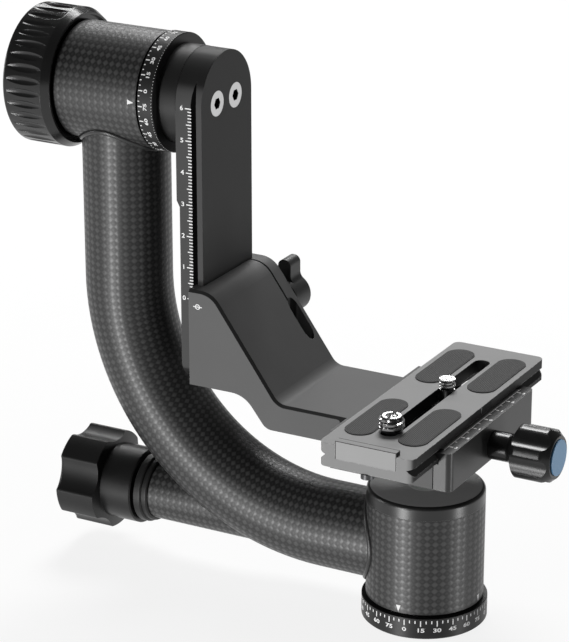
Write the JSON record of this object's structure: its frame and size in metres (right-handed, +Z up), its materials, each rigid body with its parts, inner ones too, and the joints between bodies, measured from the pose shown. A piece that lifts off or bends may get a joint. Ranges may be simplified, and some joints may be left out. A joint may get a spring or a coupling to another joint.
{
  "type": "gimbal tripod head",
  "caption": "Gimbal tripod head: J-shaped carbon arm, panning base, tilting dovetail rail and a cradle with a quick-release camera plate.",
  "frame": {"origin": "pan axis at the bottom face of the base, the mouth of the tripod thread", "axes": "+Z up along the pan axis, +X along the tilt axis from the tilt knob to the clamp knob, +Y across the cradle"},
  "size_m": [0.2226, 0.117, 0.2203],
  "materials": {
    "carbon_fibre": "woven carbon, satin lacquer",
    "anodised_black": "matt black anodised",
    "anodised_grey": "matt grey anodised",
    "anodised_blue": "blue anodised",
    "bright_aluminium": "machined",
    "steel": "machined",
    "black_steel": "blackened",
    "brass": "machined",
    "rubber": "ribbed",
    "black_gloss": "gloss black",
    "vial_glass": "clear"
  },
  "bodies": {
    "base": {"base_plate": "anodised_black", "tripod_thread_bush": "steel", "pan_spindle": "bright_aluminium", "base_screws": "black_steel", "brake_drum": "steel", "lower_spacer": "bright_aluminium", "spindle_nut": "steel", "pan_inner_races": "steel"},
    "yoke": {"pan_shell": "carbon_fibre", "pan_sleeve": "bright_aluminium", "pan_outer_races": "steel", "pan_cap": "anodised_black", "level_cup": "bright_aluminium", "level_vial": "vial_glass", "arm_tube": "carbon_fibre", "lock_stub": "carbon_fibre", "stub_collar": "anodised_black", "tilt_shell": "carbon_fibre", "tilt_sleeve": "bright_aluminium", "tilt_outer_races": "steel"},
    "pan_lock": {"pan_knob": "anodised_black", "pan_lock_screw": "steel"},
    "pan_brake": {"brake_rod": "steel", "brake_shoe": "brass"},
    "tilt_lock": {"tilt_knob": "anodised_black", "tilt_knob_insert": "brass", "tilt_knob_cap": "anodised_grey"},
    "tilt_brake": {"tilt_pressure_ring": "brass"},
    "tilt_arm": {"tilt_shaft": "anodised_black", "tilt_inner_races": "steel", "tilt_brake_disc": "steel", "tilt_dial_ring": "anodised_black", "rail": "anodised_grey", "rail_screws": "steel"},
    "cradle": {"cradle_bracket": "anodised_grey", "jaw_guide_pins": "steel"},
    "height_lock": {"height_knob": "anodised_black", "height_screw": "steel"},
    "jaw": {"clamp_jaw": "anodised_grey"},
    "clamp_lock": {"clamp_knob": "black_gloss", "clamp_screw": "steel", "clamp_knob_cap": "anodised_blue"},
    "plate": {"camera_plate": "anodised_grey", "plate_pads": "rubber", "plate_end_stop": "anodised_grey", "plate_stop_screws": "steel"},
    "large_carrier": {"large_screw_washer": "steel"},
    "large_screw": {"large_camera_screw": "steel"},
    "small_carrier": {"small_screw_washer": "steel"},
    "small_screw": {"small_camera_screw": "steel"}
  },
  "joints": [
    {"name": "pan", "type": "hinge", "parent": "base", "child": "yoke", "pos_m": [0, 0, 0.029], "axis": [0, 0, 1], "continuous": true},
    {"name": "pan_lock_turn", "type": "hinge", "parent": "yoke", "child": "pan_lock", "pos_m": [-0.139, 0, 0.0273], "axis": [1, 0, 0], "range_deg": [0, 360]},
    {"name": "pan_brake_travel", "type": "slide", "parent": "yoke", "child": "pan_brake", "axis": [1, 0, 0], "range_m": [0, 0.001]},
    {"name": "tilt", "type": "hinge", "parent": "yoke", "child": "tilt_arm", "pos_m": [-0.1304, 0, 0.1932], "axis": [1, 0, 0], "continuous": true},
    {"name": "tilt_lock_turn", "type": "hinge", "parent": "yoke", "child": "tilt_lock", "pos_m": [-0.1586, 0, 0.1932], "axis": [1, 0, 0], "range_deg": [0, 360]},
    {"name": "tilt_brake_travel", "type": "slide", "parent": "yoke", "child": "tilt_brake", "axis": [1, 0, 0], "range_m": [0, 0.001]},
    {"name": "height", "type": "slide", "parent": "tilt_arm", "child": "cradle", "axis": [0, 0, 1], "range_m": [0, 0.075]},
    {"name": "height_lock_turn", "type": "hinge", "parent": "cradle", "child": "height_lock", "pos_m": [-0.0764, 0.03, 0.1072], "axis": [0, 1, 0], "range_deg": [0, 360]},
    {"name": "jaw_travel", "type": "slide", "parent": "cradle", "child": "jaw", "axis": [1, 0, 0], "range_m": [0, 0.003]},
    {"name": "clamp_lock_turn", "type": "hinge", "parent": "jaw", "child": "clamp_lock", "pos_m": [0.04, 0, 0.0755], "axis": [1, 0, 0], "range_deg": [0, 1080]},
    {"name": "plate_travel", "type": "slide", "parent": "cradle", "child": "plate", "axis": [0, 1, 0], "range_m": [-0.016, 0.016]},
    {"name": "large_screw_travel", "type": "slide", "parent": "plate", "child": "large_carrier", "axis": [0, 1, 0], "range_m": [-0.0016, 0.02]},
    {"name": "large_screw_turn", "type": "hinge", "parent": "large_carrier", "child": "large_screw", "pos_m": [0.0032, -0.037, 0.0885], "axis": [0, 0, 1], "continuous": true},
    {"name": "small_screw_travel", "type": "slide", "parent": "plate", "child": "small_carrier", "axis": [0, 1, 0], "range_m": [-0.0125, 0.0305]},
    {"name": "small_screw_turn", "type": "hinge", "parent": "small_carrier", "child": "small_screw", "pos_m": [0.0032, 0.01, 0.0885], "axis": [0, 0, 1], "continuous": true}
  ],
  "couplings": [
    {"joint": "pan_brake_travel", "follows": "pan_lock_turn", "m_per_rad": 0.000159},
    {"joint": "tilt_brake_travel", "follows": "tilt_lock_turn", "m_per_rad": 0.000159},
    {"joint": "clamp_lock_turn", "follows": "jaw_travel", "rad_per_m": 6283.2}
  ]
}
